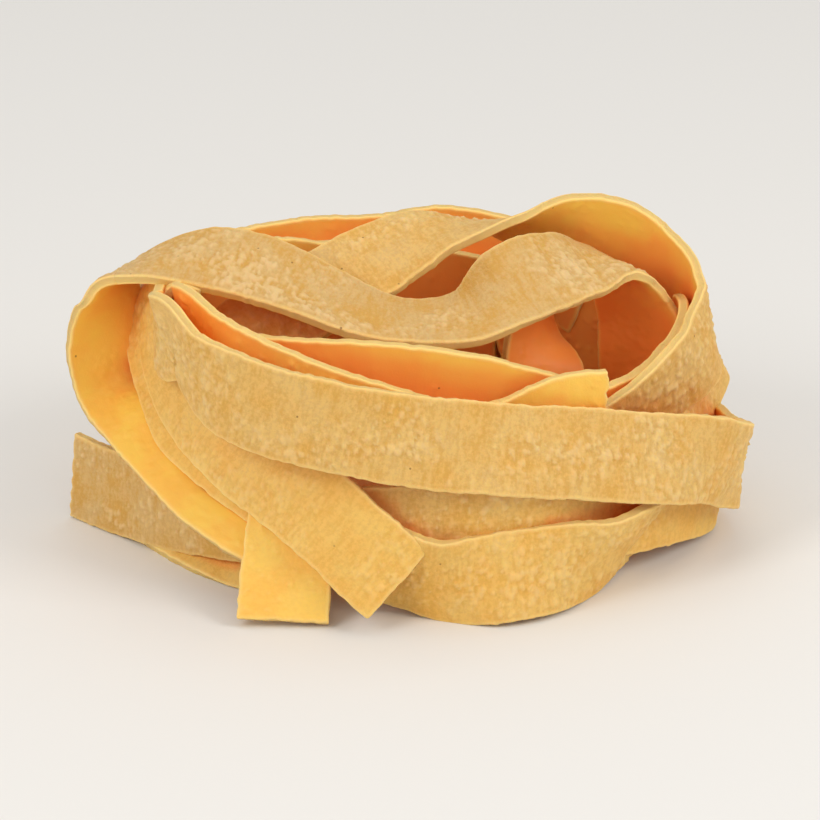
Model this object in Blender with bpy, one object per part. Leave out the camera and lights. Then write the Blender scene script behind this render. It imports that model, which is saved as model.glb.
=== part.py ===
"""Dried pasta nest: thirteen flat ribbons wound round a hollow and dried into one bundle."""
import math

import bmesh
import bpy
import numpy as np

MM = 0.001

# Driving dimensions, millimetres
RIBBON_WIDTH = 12.0
RIBBON_THICKNESS = 1.4
SETTLED_DEPTH = 0.5
SECTION_STEP = 4.0

# Path settings: knots are spaced by the hop between stations to this power, and sampled this finely
KNOT_POWER = 0.75
PATH_SAMPLES = 1200
SLOPE_REACH = 0.001

# Front drawing
# The front of the nest is drawn as seen from a little above, from the left to right middle of it.
# Right and up are millimetres on a plane through the middle of the nest, square to the line of sight.
DRAWING_TILT = math.radians(24.0)
DRAWING_HEIGHT = 17.6
EYE_DISTANCE = 700.0

RIGHT = np.array([1.0, 0.0, 0.0])
UP = np.array([0.0, math.sin(DRAWING_TILT), math.cos(DRAWING_TILT)])
NEAR = np.array([0.0, -math.cos(DRAWING_TILT), math.sin(DRAWING_TILT)])
MIDDLE = np.array([0.0, 0.0, DRAWING_HEIGHT])
EYE = MIDDLE + EYE_DISTANCE * NEAR


def held(foot_right, foot_up, head_right, head_up, back, lean=1):
    """Ribbon centre and width direction from both edges on the front drawing, at depth y = back.

    The width that the drawing foreshortens leans towards the front (1) or away from it (-1).
    """
    drawn = MIDDLE + 0.5 * (foot_right + head_right) * RIGHT + 0.5 * (foot_up + head_up) * UP
    sight = drawn - EYE
    share = (back - EYE[1]) / sight[1]
    shown = share * ((head_right - foot_right) * RIGHT + (head_up - foot_up) * UP)
    hidden = math.sqrt(max(RIBBON_WIDTH ** 2 - shown @ shown, 0.0))
    across = shown + lean * hidden * NEAR
    return EYE + share * sight, across / np.linalg.norm(across)


def laid(x, y, z, heading=0.0, lift=90.0):
    """Ribbon centre at (x, y, z); its width points to heading in plan and lift above the level."""
    turn, rise = math.radians(heading), math.radians(lift)
    across = [math.cos(rise) * math.cos(turn), math.cos(rise) * math.sin(turn), math.sin(rise)]
    return np.array([x, y, z], float), np.array(across)


# Comes up inside on the right, sags across the top, curls over the left end and dives to the front
SADDLE = [
    laid(23.5, 17.5, 1.6, 155, 0), laid(28.5, 12, 2.2, 170, 0), laid(30.6, 8, 6.5, 180, 0),
    held(36.2, -1, 26, -2, 6.2, -1), held(36.9, 6, 25.5, 5, 7, -1), held(36.6, 9.8, 25.3, 9, 7.2, -1),
    held(35.9, 12.3, 25.3, 11.8, 7.3, -1), held(34.6, 14.5, 25, 14.6, 7.4, -1),
    held(33.6, 16, 25, 17, 7.4, -1), held(32.3, 17.3, 25.4, 18.7, 7.4, -1),
    held(30.6, 18, 25.6, 20.2, 7.2, -1), held(28.4, 17.8, 24.9, 21.4, 6.6, -1),
    held(25.8, 16.5, 23, 22.6, 5.2, -1), held(22.3, 14.7, 19.4, 23.7, 2.2, -1),
    held(16.5, 11.7, 12.5, 22.3, -2.6, -1), held(9, 8.9, 6.4, 15.8, -5, -1),
    held(2, 8.5, 1.2, 14.6, -5, -1), held(-6, 9.5, -4.2, 15.7, -5, -1),
    held(-14, 12, -11, 19.2, -3.4, -1), held(-22, 14.6, -19, 23.1, -0.8, -1),
    held(-29, 16.4, -26.8, 24.2, 2, -1), held(-35.5, 17.5, -33.8, 21.8, 3.6, -1),
    held(-39, 17.4, -37, 19.6, 4.1, -1), held(-41.9, 16.5, -38.6, 18.4, 4.2, -1),
    held(-44.3, 14, -37, 17, 4.4, -1), held(-45.5, 10.6, -35.6, 13.6, 4.6, -1),
    held(-45.7, 6.6, -35, 9.4, 4.8, -1),
    held(-44.2, 1.2, -33.5, 5, 4.4, -1), held(-40.6, -4, -31, 2.8, -0.6, -1),
    held(-35.6, -9.7, -26.5, -2.2, -8.4, -1), held(-29.3, -15.7, -21, -7.3, -16.4, -1),
    held(-22.5, -20, -16.5, -10, -21, -1), held(-14, -22.8, -10.5, -11.5, -22, -1),
]

# Rises from inside, stands up as the tall hoop on the right and runs round inside the front and back
HIGH_LOOP = [
    held(-22, -6, -31.5, 1.5, -7, -1), held(-21.5, 3.5, -27.5, 12, -4, -1),
    held(-13.5, 8.5, -20, 17.3, 0.5, -1), held(-5, 13.8, -11.5, 22.2, 4.5, -1),
    held(0.8, 17.6, -5.5, 25, 7.5, -1), held(5, 21, 0.5, 26.4, 10, -1),
    held(9, 23.3, 6.5, 25.6, 12, -1), held(13, 25.3, 11.5, 24.4, 13.5, -1),
    held(17, 27, 15.5, 22.4, 14.5, -1), held(23, 28.4, 20.5, 20.6, 15, -1),
    held(29.3, 27.6, 25.5, 19.6, 14.5, -1), held(34.2, 24.4, 30, 17.2, 13, -1),
    held(37.7, 20.4, 34.3, 15.8, 10.5, -1), held(39.2, 17, 37.4, 13.4, 7.8, -1),
    held(39.4, 14.6, 39.6, 11.2, 5.2, -1), held(38.3, 12.2, 41.2, 9.6, 2.7, -1),
    held(36.2, 9.4, 42, 6.7, -0.7, -1), held(32.3, 5.3, 38.4, 2.4, -5.7, -1),
    held(27, 1.3, 32, -4, -10, -1), held(20, -2.5, 23, -11, -13.5, -1),
    held(11, -4.5, 12, -15, -17, 1), held(0, -6, 0, -17, -18, 1),
    held(-11, -6.5, -11.5, -17.5, -16.5, 1), held(-21, -6.5, -21.5, -17.5, -11, 1),
    laid(-31.5, -1, 15.5, 0, -90), laid(-34, 8, 16.5, 0, -90), laid(-29, 17.6, 17, 0, -90),
    laid(-18, 24.5, 16, 0, -90), laid(-3, 26.6, 14.5, 0, -90), laid(12, 25, 14.5, 0, -90),
]

# Broad band across the front, up over the left end and along the top of the back wall
FRONT_BAND = [
    laid(2, 30.2, 9.6), laid(15, 28.2, 9.8), laid(29, 22.4, 10), laid(37.8, 14.5, 9.4),
    laid(41.8, 7, 9.2), laid(43.2, 1, 10), held(43.2, -12, 44.3, -2.6, -5.5),
    held(39.5, -12.5, 40.6, -0.9, -12.5), held(34, -12.8, 34.6, -0.3, -16.8),
    held(24, -12.3, 24, 0.4, -22), held(12, -11.6, 12, 1, -26.2), held(0, -10.3, 0, 2, -28),
    held(-11, -8.2, -9.5, 3.7, -28.4), held(-20.5, -5.8, -17, 5.5, -26.6),
    held(-27.2, -2.2, -22.6, 7.1, -22.8), held(-30.5, 2.6, -27.2, 8.8, -19),
    held(-32.4, 8, -30.4, 11.6, -14.6), laid(-32.4, -9.4, 32.4, -90, 78),
    laid(-33, -2.5, 30.8, -90, 84), laid(-32, 5, 30), laid(-25.4, 18, 29.8),
    laid(-14.5, 25.8, 28.9), laid(-4, 28, 28.6), laid(5, 28.5, 29.6), laid(14, 26.5, 28.4),
    laid(24, 21.5, 25),
]

# Lies inside the front band, its cut end standing up on the right
INNER_BAND = [
    held(27.4, -5.5, 25.5, 5.2, -16.5), held(21.5, -6.8, 19.6, 4.4, -18),
    held(14, -9.5, 12.8, 1.4, -19.8), held(6.5, -10.5, 6.5, 0.6, -21.8),
    held(-5, -7.5, -4, 3.6, -22.8), held(-15, -4, -12, 6.2, -21.5), held(-23, 0, -19, 9.1, -18.5),
    held(-28, 4.4, -24.3, 11.2, -14), held(-30.4, 9, -27.6, 12.9, -9),
    laid(-30.2, -4, 31.6, -90, 84), laid(-30, 2.5, 31), laid(-27.6, 8.4, 30.6),
    laid(-21.5, 15.5, 30), laid(-12, 20.6, 27.6), laid(-2, 22, 27), laid(9, 21.5, 25),
]

# Golden strip deep inside the front, climbing the right rim and round inside the back
LINING = [
    held(-26, -1, -23.8, 9.8, -10.5), held(-15, -1.5, -13.5, 9.3, -15.5), held(-3, -2, -3, 8.9, -17.5),
    held(7, -3.5, 7.5, 7.4, -17), held(15.5, -5.5, 16.5, 5.2, -14.5), held(24, -6.5, 24.8, 3, -10),
    held(31.5, -3.5, 30, 5.2, -5.5), held(36.3, 0.5, 33.6, 8.6, -1), held(38.2, 6, 36, 11.8, 3.5),
    laid(36.6, 10.5, 23.6), laid(32, 17.8, 21.5), laid(24, 22.4, 19.5), laid(12, 24.4, 17),
]

# Its cut end hangs in front; it climbs the left end and curls in beneath the saddle
TAIL_BAND = [
    held(-5.4, -28.4, 2.2, -18.5, -31), held(-10.6, -23.5, -2.6, -14.2, -30),
    held(-16.5, -17.9, -8.5, -8.7, -27.2), held(-23.2, -12.5, -15.4, -3.6, -22.6),
    held(-29.4, -6.7, -22, 2.2, -15.2), held(-33.6, -0.5, -26.6, 5.6, -9), held(-35.6, 5, -29, 9.4, -4.6),
    held(-36.2, 9.6, -30.6, 12.4, -1.6), held(-35.6, 13.8, -31.9, 15.2, 0.2),
    laid(-31.6, 1.4, 35.4, -80, 14), laid(-27.8, 1.8, 35.6, -88, 4),
]

# Lies beneath the tail band
UNDER_BAND = [
    held(-20.5, -15.6, -12.5, -7, -22.6), held(-28.2, -10, -20.5, -1.2, -15.8),
    held(-33.9, -4.2, -26, 4, -6.6), held(-36.7, 3, -28.5, 8.9, 0), held(-37.8, 8.2, -30.3, 12, 2.6),
    held(-37.9, 12, -32, 14.4, 4.2), held(-36.8, 15.4, -33, 16.8, 5.6),
    laid(-33, 7.4, 34.6, -84, 10), laid(-29, 8.2, 34.8, -88, 2),
]

# Runs round the outside of the back wall
BACK_BAND = [
    laid(-35.4, 9.5, 23.6), laid(-33.4, 15, 24.4), laid(-27, 21.8, 24.2),
    laid(-14, 28.3, 22), laid(0, 31, 20.4), laid(13, 30, 20.4), laid(24, 26.3, 21),
]

# Lower ribbon of the back wall
BACK_RING = [
    laid(-36, 6, 10.6), laid(-34.6, 12, 12.6), laid(-27.4, 22.8, 15), laid(-14, 30, 14.6), laid(1, 32.6, 13),
    laid(15, 30.6, 12.4), laid(27, 26, 12),
]

# Short hanging end beside the tail band
SHORT_TAIL = [
    held(-23.2, -28.1, -10.8, -28.6, -31), held(-22.5, -20.5, -10.3, -20.8, -27.2),
    held(-21.3, -13, -9.3, -12.4, -24), held(-20, -6, -8, -5, -21.5), held(-19, -2, -7, -1, -20.4),
]

# Slopes out under the left front, bulges in front and climbs the right side
BELLY_BAND = [
    laid(-30, 14, 3.2, -40, 22), laid(-33.5, 4.5, 3.2, 5, 22), laid(-31.4, -2.4, 3.2, 32, 22),
    laid(-24.9, -11.2, 3.4, 46, 25), laid(-19.6, -16.8, 5, 55, 50),
    held(-12.5, -23.6, -12.3, -12.6, -24), held(-3.3, -25.8, -3.3, -15.3, -27),
    held(5, -28.3, 4.8, -17.5, -29.2), held(12.5, -28.5, 13, -16.2, -29),
    held(19.2, -27, 20.4, -15.1, -26.5), held(24.6, -24.5, 26.2, -14.9, -22.6),
    held(28.2, -20.8, 29.8, -13.9, -18), held(30.9, -16.8, 32.2, -13.2, -13.5),
    held(33.6, -12.4, 33.4, -11, -9), held(37.6, -6.6, 34.8, -5.2, -1.8), held(41, 0.4, 36.8, 3, 3.6),
    held(42.6, 5.2, 38.2, 8.8, 8), laid(38.6, 14.5, 24), laid(31, 21.8, 26), laid(18, 25.4, 24.5),
    laid(4, 25.6, 21.5), laid(-9, 24.6, 18.5),
]

# Ring that the nest stands on
BASE_RING = [
    held(-45.2, -14.2, -44.7, -3, 3.4), held(-39.6, -16.4, -39, -5.3, -2.2),
    held(-31.5, -18.8, -31, -7.5, -10.3), held(-22.4, -20.4, -22, -9, -18),
    held(-12, -21.8, -12, -10.4, -23.6), held(-3.5, -22, -3.5, -10.2, -25.8),
    held(7, -21.5, 7, -9.8, -26.8), held(18, -20.5, 18.5, -9, -24.4),
    held(28.5, -19.4, 29, -8.2, -16.8), held(35.8, -17.6, 36.4, -6.3, -9.5),
    held(40.3, -15.8, 41.3, -4.8, -1.5), laid(40.2, 7.5, 7), laid(33.5, 16.5, 6.3),
    laid(21, 24, 6.3), laid(8, 27.8, 6.3), laid(-8, 28.2, 6.3), laid(-22, 24.4, 6.4), laid(-31, 18.5, 6.6),
]

# Strip standing in the hollow on the right
INNER_TONGUE = [
    held(15.5, 16, 18.5, 17.5, 9, -1), held(13.6, 10.2, 19.8, 11.4, 6, -1),
    held(12.4, 5.6, 23, 5.9, 3, -1), held(11.5, -3, 23, -3.5, 1, -1), held(12, -9, 23.5, -9.5, -3, -1),
    laid(17, -10, 9.5, 0, 0), laid(16.5, -17.5, 13.5, 0, 0),
]

RIBBONS = {
    "saddle": SADDLE, "high_loop": HIGH_LOOP, "front_band": FRONT_BAND, "inner_band": INNER_BAND,
    "lining": LINING, "tail_band": TAIL_BAND, "under_band": UNDER_BAND, "back_band": BACK_BAND,
    "back_ring": BACK_RING, "short_tail": SHORT_TAIL,
    "belly_band": BELLY_BAND, "base_ring": BASE_RING, "inner_tongue": INNER_TONGUE,
}


def smooth_through(knots, values, at):
    """Cubic curve through values at the knots, its slopes taken from the neighbours."""
    gaps = np.diff(knots)
    rises = np.diff(values, axis=0) / gaps[:, None]
    slopes = np.empty_like(values)
    before, after = gaps[:-1, None], gaps[1:, None]
    slopes[1:-1] = (rises[:-1] * after + rises[1:] * before) / (before + after)
    slopes[0] = 1.5 * rises[0] - 0.5 * slopes[1]
    slopes[-1] = 1.5 * rises[-1] - 0.5 * slopes[-2]
    span = np.clip(np.searchsorted(knots, at, side="right") - 1, 0, len(gaps) - 1)
    h = gaps[span][:, None]
    t = ((at - knots[span]) / gaps[span])[:, None]
    return ((2 * t ** 3 - 3 * t ** 2 + 1) * values[span] + (t ** 3 - 2 * t ** 2 + t) * h * slopes[span]
            + (3 * t ** 2 - 2 * t ** 3) * values[span + 1] + (t ** 3 - t ** 2) * h * slopes[span + 1])


def unit_rows(rows):
    """Each row scaled to length 1."""
    return rows / np.linalg.norm(rows, axis=1, keepdims=True)


def ribbon_frames(stations, step):
    """Centres, width directions and face directions at even steps along a ribbon."""
    centres = np.array([centre for centre, _ in stations])
    widths = np.array([across for _, across in stations])
    hops = np.linalg.norm(np.diff(centres, axis=0), axis=1) ** KNOT_POWER
    knots = np.concatenate([[0.0], np.cumsum(hops)])
    fine = np.linspace(0.0, knots[-1], PATH_SAMPLES)
    path = smooth_through(knots, centres, fine)
    run = np.concatenate([[0.0], np.cumsum(np.linalg.norm(np.diff(path, axis=0), axis=1))])
    count = max(6, round(run[-1] / step))
    at = np.interp(np.linspace(0.0, run[-1], count + 1), run, fine)
    ahead = unit_rows(smooth_through(knots, centres, np.minimum(at + SLOPE_REACH, knots[-1]))
                      - smooth_through(knots, centres, np.maximum(at - SLOPE_REACH, 0.0)))
    across = smooth_through(knots, widths, at)
    across = unit_rows(across - (across * ahead).sum(axis=1, keepdims=True) * ahead)
    return smooth_through(knots, centres, at), across, np.cross(ahead, across)


def ribbon(name, stations, collection):
    """A flat strip of constant width and thickness, lofted between its turned sections.

    Its lowest edges are pressed flat where the nest has settled while it dried.
    """
    centres, across, face = ribbon_frames(stations, SECTION_STEP)
    corners = [(-0.5, -0.5), (0.5, -0.5), (0.5, 0.5), (-0.5, 0.5)]
    mesh = bpy.data.meshes.new(name)
    shape = bmesh.new()
    rings = []
    for centre, wide, out in zip(centres, across, face):
        points = [centre + u * RIBBON_WIDTH * wide + v * RIBBON_THICKNESS * out for u, v in corners]
        settled = [(MM * x, MM * y, MM * max(z - SETTLED_DEPTH, 0.0)) for x, y, z in points]
        rings.append([shape.verts.new(point) for point in settled])
    for ring, following in zip(rings, rings[1:]):
        for i in range(4):
            j = (i + 1) % 4
            shape.faces.new([ring[i], ring[j], following[j], following[i]])
    shape.faces.new(rings[0][::-1])
    shape.faces.new(rings[-1])
    bmesh.ops.triangulate(shape, faces=shape.faces[:])
    bmesh.ops.recalc_face_normals(shape, faces=shape.faces[:])
    shape.to_mesh(mesh)
    shape.free()
    strip = bpy.data.objects.new(name, mesh)
    collection.objects.link(strip)
    return strip


def shells(shape):
    """Connected groups of faces and the volume that each encloses."""
    left = set(shape.faces)
    while left:
        group, front = set(), [left.pop()]
        while front:
            face = front.pop()
            group.add(face)
            for edge in face.edges:
                for other in edge.link_faces:
                    if other in left:
                        left.discard(other)
                        front.append(other)
        volume = 0.0
        for face in group:
            first = face.verts[0].co
            for second, third in zip(face.verts[1:], face.verts[2:]):
                volume += first.dot(second.co.cross(third.co)) / 6.0
        yield group, volume


def keep_one_body(mesh):
    """Fills the hollows that the fused ribbons seal and drops loose scraps.

    The body is then moved so that the middle of its base is the origin.
    """
    shape = bmesh.new()
    shape.from_mesh(mesh)
    groups = sorted(shells(shape), key=lambda item: item[1])
    for group, _ in groups[:-1]:
        bmesh.ops.delete(shape, geom=list(group), context="FACES")
    loose = [vert for vert in shape.verts if not vert.link_faces]
    bmesh.ops.delete(shape, geom=loose, context="VERTS")
    bmesh.ops.triangulate(shape, faces=shape.faces[:])
    low = [min(vert.co[i] for vert in shape.verts) for i in range(3)]
    high = [max(vert.co[i] for vert in shape.verts) for i in range(3)]
    middle = [-0.5 * (low[0] + high[0]), -0.5 * (low[1] + high[1]), -low[2]]
    bmesh.ops.translate(shape, verts=shape.verts[:], vec=middle)
    shape.to_mesh(mesh)
    shape.free()


def pasta_material():
    """Dry, matt golden pasta."""
    material = bpy.data.materials.new("pasta")
    material.use_nodes = True
    shader = material.node_tree.nodes["Principled BSDF"]
    shader.inputs["Base Color"].default_value = (0.86, 0.62, 0.24, 1.0)
    shader.inputs["Roughness"].default_value = 0.62
    return material


def build():
    """Lofts every ribbon, fuses them and leaves one body."""
    for old in list(bpy.data.objects):
        bpy.data.objects.remove(old, do_unlink=True)

    nest = bpy.data.collections.new("dry_pasta_nest")
    strands = bpy.data.collections.new("ribbons")
    bpy.context.scene.collection.children.link(nest)
    bpy.context.scene.collection.children.link(strands)

    strips = [ribbon(name, stations, strands) for name, stations in RIBBONS.items()]
    body = strips[0]
    strands.objects.unlink(body)
    nest.objects.link(body)
    body.name = "pasta_nest"
    body.data.name = "pasta_nest"

    union = body.modifiers.new("fused", "BOOLEAN")
    union.operation = "UNION"
    union.operand_type = "COLLECTION"
    union.collection = strands
    union.solver = "EXACT"
    bpy.context.view_layer.objects.active = body
    bpy.ops.object.modifier_apply(modifier=union.name)
    for strip in strips[1:]:
        bpy.data.objects.remove(strip, do_unlink=True)
    bpy.data.collections.remove(strands)

    keep_one_body(body.data)
    body.data.materials.clear()
    body.data.materials.append(pasta_material())


build()
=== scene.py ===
"""Dried pasta nest: floury ribbons with blisters, creases and cut edges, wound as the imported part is."""

import math

import bpy
import numpy as np
from mathutils import Matrix, Vector
from mathutils.bvhtree import BVHTree


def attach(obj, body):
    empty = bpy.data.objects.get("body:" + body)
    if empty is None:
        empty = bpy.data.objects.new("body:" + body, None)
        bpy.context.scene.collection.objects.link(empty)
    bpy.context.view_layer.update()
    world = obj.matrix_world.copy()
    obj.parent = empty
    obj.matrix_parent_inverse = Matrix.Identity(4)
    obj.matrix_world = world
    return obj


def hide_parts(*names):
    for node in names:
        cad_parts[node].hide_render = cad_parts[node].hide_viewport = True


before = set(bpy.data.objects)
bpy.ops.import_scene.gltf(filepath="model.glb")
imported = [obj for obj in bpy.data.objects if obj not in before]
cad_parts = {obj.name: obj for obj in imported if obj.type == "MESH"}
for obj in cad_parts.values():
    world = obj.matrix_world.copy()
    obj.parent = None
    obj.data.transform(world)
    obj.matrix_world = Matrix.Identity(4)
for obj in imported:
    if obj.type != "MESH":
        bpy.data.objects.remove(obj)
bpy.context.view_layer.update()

bl_info = {
    "name": "Dried Pasta Nest",
    "version": (1, 0, 0),
    "blender": (4, 5, 0),
    "location": "3D View > Sidebar > Pasta Nest",
    "description": "Builds a nest of dried pasta ribbons and the stage it is shown on",
    "category": "Add Mesh",
}

MM = 0.001

# Millimetres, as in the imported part: the ribbons, how deep they settled on the ground, the step of sections
RIBBON_WIDTH = 12.0
RIBBON_THICKNESS = 1.4
SETTLED_DEPTH = 0.5
SECTION_STEP = 4.0

# Path settings: knots are spaced by the hop between stations to this power, and sampled this finely
KNOT_POWER = 0.75
PATH_SAMPLES = 1200
SLOPE_REACH = 0.001

# The front of the nest is drawn as seen from a little above, from the left to right middle of it.
# Right and up are millimetres on a plane through the middle of the nest, square to the line of sight.
DRAWING_TILT = math.radians(24.0)
DRAWING_HEIGHT = 17.6
EYE_DISTANCE = 700.0
# What the picture shows across, at the middle of the nest, millimetres, and the floor, metres
PICTURE_WIDTH = 109.88
FLOOR_SIZE = 4.0

RIGHT = np.array([1.0, 0.0, 0.0])
UP = np.array([0.0, math.sin(DRAWING_TILT), math.cos(DRAWING_TILT)])
NEAR = np.array([0.0, -math.cos(DRAWING_TILT), math.sin(DRAWING_TILT)])
MIDDLE = np.array([0.0, 0.0, DRAWING_HEIGHT])
EYE = MIDDLE + EYE_DISTANCE * NEAR


def held(foot_right, foot_up, head_right, head_up, back, lean=1):
    """Ribbon centre and width direction from both edges on the front drawing, at depth y = back.

    The width that the drawing foreshortens leans towards the front (1) or away from it (-1).
    """
    drawn = MIDDLE + 0.5 * (foot_right + head_right) * RIGHT + 0.5 * (foot_up + head_up) * UP
    sight = drawn - EYE
    share = (back - EYE[1]) / sight[1]
    shown = share * ((head_right - foot_right) * RIGHT + (head_up - foot_up) * UP)
    hidden = math.sqrt(max(RIBBON_WIDTH ** 2 - shown @ shown, 0.0))
    across = shown + lean * hidden * NEAR
    return EYE + share * sight, across / np.linalg.norm(across)


def laid(x, y, z, heading=0.0, lift=90.0):
    """Ribbon centre at (x, y, z); its width points to heading in plan and lift above the level."""
    turn, rise = math.radians(heading), math.radians(lift)
    across = [math.cos(rise) * math.cos(turn), math.cos(rise) * math.sin(turn), math.sin(rise)]
    return np.array([x, y, z], float), np.array(across)


# Comes up inside on the right, sags across the top, curls over the left end and dives to the front
SADDLE = [
    laid(23.5, 17.5, 1.6, 155, 0), laid(28.5, 12, 2.2, 170, 0), laid(30.6, 8, 6.5, 180, 0),
    held(36.2, -1, 26, -2, 6.2, -1), held(36.9, 6, 25.5, 5, 7, -1), held(36.6, 9.8, 25.3, 9, 7.2, -1),
    held(35.9, 12.3, 25.3, 11.8, 7.3, -1), held(34.6, 14.5, 25, 14.6, 7.4, -1),
    held(33.6, 16, 25, 17, 7.4, -1), held(32.3, 17.3, 25.4, 18.7, 7.4, -1),
    held(30.6, 18, 25.6, 20.2, 7.2, -1), held(28.4, 17.8, 24.9, 21.4, 6.6, -1),
    held(25.8, 16.5, 23, 22.6, 5.2, -1), held(22.3, 14.7, 19.4, 23.7, 2.2, -1),
    held(16.5, 11.7, 12.5, 22.3, -2.6, -1), held(9, 8.9, 6.4, 15.8, -5, -1),
    held(2, 8.5, 1.2, 14.6, -5, -1), held(-6, 9.5, -4.2, 15.7, -5, -1),
    held(-14, 12, -11, 19.2, -3.4, -1), held(-22, 14.6, -19, 23.1, -0.8, -1),
    held(-29, 16.4, -26.8, 24.2, 2, -1), held(-35.5, 17.5, -33.8, 21.8, 3.6, -1),
    held(-39, 17.4, -37, 19.6, 4.1, -1), held(-41.9, 16.5, -38.6, 18.4, 4.2, -1),
    held(-44.3, 14, -37, 17, 4.4, -1), held(-45.5, 10.6, -35.6, 13.6, 4.6, -1),
    held(-45.7, 6.6, -35, 9.4, 4.8, -1),
    held(-44.2, 1.2, -33.5, 5, 4.4, -1), held(-40.6, -4, -31, 2.8, -0.6, -1),
    held(-35.6, -9.7, -26.5, -2.2, -8.4, -1), held(-29.3, -15.7, -21, -7.3, -16.4, -1),
    held(-22.5, -20, -16.5, -10, -21, -1), held(-14, -22.8, -10.5, -11.5, -22, -1),
]

# Rises from inside, stands up as the tall hoop on the right and runs round inside the front and back
HIGH_LOOP = [
    held(-22, -6, -31.5, 1.5, -7, -1), held(-21.5, 3.5, -27.5, 12, -4, -1),
    held(-13.5, 8.5, -20, 17.3, 0.5, -1), held(-5, 13.8, -11.5, 22.2, 4.5, -1),
    held(0.8, 17.6, -5.5, 25, 7.5, -1), held(5, 21, 0.5, 26.4, 10, -1),
    held(9, 23.3, 6.5, 25.6, 12, -1), held(13, 25.3, 11.5, 24.4, 13.5, -1),
    held(17, 27, 15.5, 22.4, 14.5, -1), held(23, 28.4, 20.5, 20.6, 15, -1),
    held(29.3, 27.6, 25.5, 19.6, 14.5, -1), held(34.2, 24.4, 30, 17.2, 13, -1),
    held(37.7, 20.4, 34.3, 15.8, 10.5, -1), held(39.2, 17, 37.4, 13.4, 7.8, -1),
    held(39.4, 14.6, 39.6, 11.2, 5.2, -1), held(38.3, 12.2, 41.2, 9.6, 2.7, -1),
    held(36.2, 9.4, 42, 6.7, -0.7, -1), held(32.3, 5.3, 38.4, 2.4, -5.7, -1),
    held(27, 1.3, 32, -4, -10, -1), held(20, -2.5, 23, -11, -13.5, -1),
    held(11, -4.5, 12, -15, -17, 1), held(0, -6, 0, -17, -18, 1),
    held(-11, -6.5, -11.5, -17.5, -16.5, 1), held(-21, -6.5, -21.5, -17.5, -11, 1),
    laid(-31.5, -1, 15.5, 0, -90), laid(-34, 8, 16.5, 0, -90), laid(-29, 17.6, 17, 0, -90),
    laid(-18, 24.5, 16, 0, -90), laid(-3, 26.6, 14.5, 0, -90), laid(12, 25, 14.5, 0, -90),
]

# Broad band across the front, up over the left end and along the top of the back wall
FRONT_BAND = [
    laid(2, 30.2, 9.6), laid(15, 28.2, 9.8), laid(29, 22.4, 10), laid(37.8, 14.5, 9.4),
    laid(41.8, 7, 9.2), laid(43.2, 1, 10), held(43.2, -12, 44.3, -2.6, -5.5),
    held(39.5, -12.5, 40.6, -0.9, -12.5), held(34, -12.8, 34.6, -0.3, -16.8),
    held(24, -12.3, 24, 0.4, -22), held(12, -11.6, 12, 1, -26.2), held(0, -10.3, 0, 2, -28),
    held(-11, -8.2, -9.5, 3.7, -28.4), held(-20.5, -5.8, -17, 5.5, -26.6),
    held(-27.2, -2.2, -22.6, 7.1, -22.8), held(-30.5, 2.6, -27.2, 8.8, -19),
    held(-32.4, 8, -30.4, 11.6, -14.6), laid(-32.4, -9.4, 32.4, -90, 78),
    laid(-33, -2.5, 30.8, -90, 84), laid(-32, 5, 30), laid(-25.4, 18, 29.8),
    laid(-14.5, 25.8, 28.9), laid(-4, 28, 28.6), laid(5, 28.5, 29.6), laid(14, 26.5, 28.4),
    laid(24, 21.5, 25),
]

# Lies inside the front band, its cut end standing up on the right
INNER_BAND = [
    held(27.4, -5.5, 25.5, 5.2, -16.5), held(21.5, -6.8, 19.6, 4.4, -18),
    held(14, -9.5, 12.8, 1.4, -19.8), held(6.5, -10.5, 6.5, 0.6, -21.8),
    held(-5, -7.5, -4, 3.6, -22.8), held(-15, -4, -12, 6.2, -21.5), held(-23, 0, -19, 9.1, -18.5),
    held(-28, 4.4, -24.3, 11.2, -14), held(-30.4, 9, -27.6, 12.9, -9),
    laid(-30.2, -4, 31.6, -90, 84), laid(-30, 2.5, 31), laid(-27.6, 8.4, 30.6),
    laid(-21.5, 15.5, 30), laid(-12, 20.6, 27.6), laid(-2, 22, 27), laid(9, 21.5, 25),
]

# Golden strip deep inside the front, climbing the right rim and round inside the back
LINING = [
    held(-26, -1, -23.8, 9.8, -10.5), held(-15, -1.5, -13.5, 9.3, -15.5), held(-3, -2, -3, 8.9, -17.5),
    held(7, -3.5, 7.5, 7.4, -17), held(15.5, -5.5, 16.5, 5.2, -14.5), held(24, -6.5, 24.8, 3, -10),
    held(31.5, -3.5, 30, 5.2, -5.5), held(36.3, 0.5, 33.6, 8.6, -1), held(38.2, 6, 36, 11.8, 3.5),
    laid(36.6, 10.5, 23.6), laid(32, 17.8, 21.5), laid(24, 22.4, 19.5), laid(12, 24.4, 17),
]

# Its cut end hangs in front; it climbs the left end and curls in beneath the saddle
TAIL_BAND = [
    held(-5.4, -28.4, 2.2, -18.5, -31), held(-10.6, -23.5, -2.6, -14.2, -30),
    held(-16.5, -17.9, -8.5, -8.7, -27.2), held(-23.2, -12.5, -15.4, -3.6, -22.6),
    held(-29.4, -6.7, -22, 2.2, -15.2), held(-33.6, -0.5, -26.6, 5.6, -9), held(-35.6, 5, -29, 9.4, -4.6),
    held(-36.2, 9.6, -30.6, 12.4, -1.6), held(-35.6, 13.8, -31.9, 15.2, 0.2),
    laid(-31.6, 1.4, 35.4, -80, 14), laid(-27.8, 1.8, 35.6, -88, 4),
]

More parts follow.
